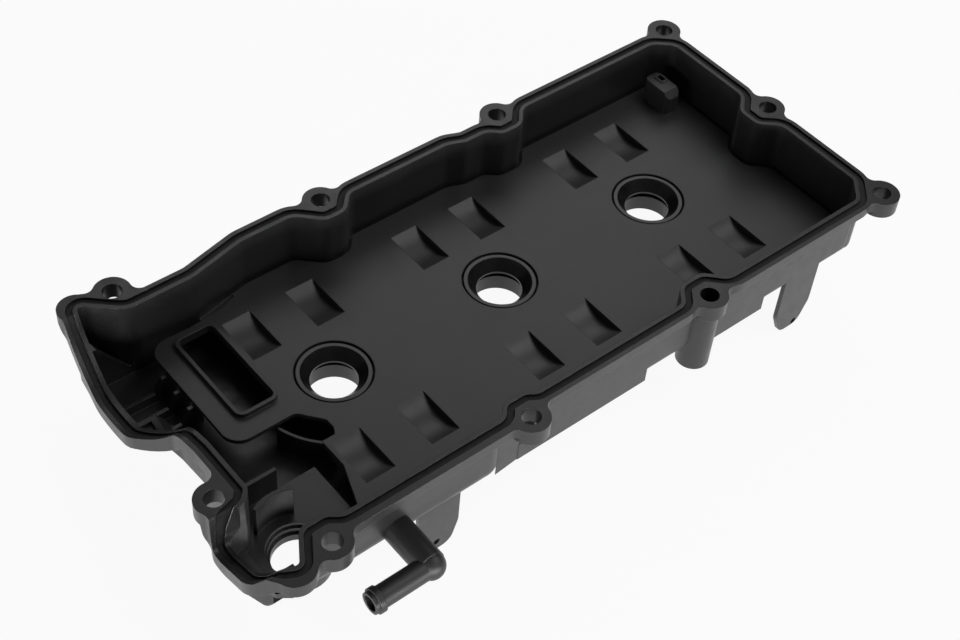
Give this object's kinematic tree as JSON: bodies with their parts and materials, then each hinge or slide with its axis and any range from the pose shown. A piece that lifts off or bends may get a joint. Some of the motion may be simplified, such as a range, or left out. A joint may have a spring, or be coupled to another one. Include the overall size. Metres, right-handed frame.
{
  "type": "valve cover",
  "caption": "Moulded valve cover lying open side up: a grooved flange with bolt bosses, a gasket, a baffle plate with lobe pockets, plug wells with seals, a filler neck and a hose elbow.",
  "frame": {"origin": "on the axis of the middle well, at the coil seat on the closed side", "axes": "+X along the row of wells towards the end with the square corners, +Y across the cover towards the side with no brackets, +Z out of the open side"},
  "size_m": [0.4209, 0.2212, 0.0745],
  "materials": {
    "shell_plastic": "moulded glass-filled plastic, satin black",
    "baffle_plastic": "moulded plastic, satin dark grey",
    "gasket_rubber": "moulded rubber cord, matte black",
    "seal_rubber": "moulded rubber, satin black",
    "elbow_plastic": "moulded plastic, satin black",
    "insert_brass": "turned brass"
  },
  "bodies": {
    "root": {"cover_shell": "shell_plastic", "baffle_plate": "baffle_plastic", "perimeter_gasket": "gasket_rubber", "tube_seal_1": "seal_rubber", "tube_seal_2": "seal_rubber", "tube_seal_3": "seal_rubber", "breather_elbow": "elbow_plastic", "coil_inserts": "insert_brass"}
  },
  "joints": []
}
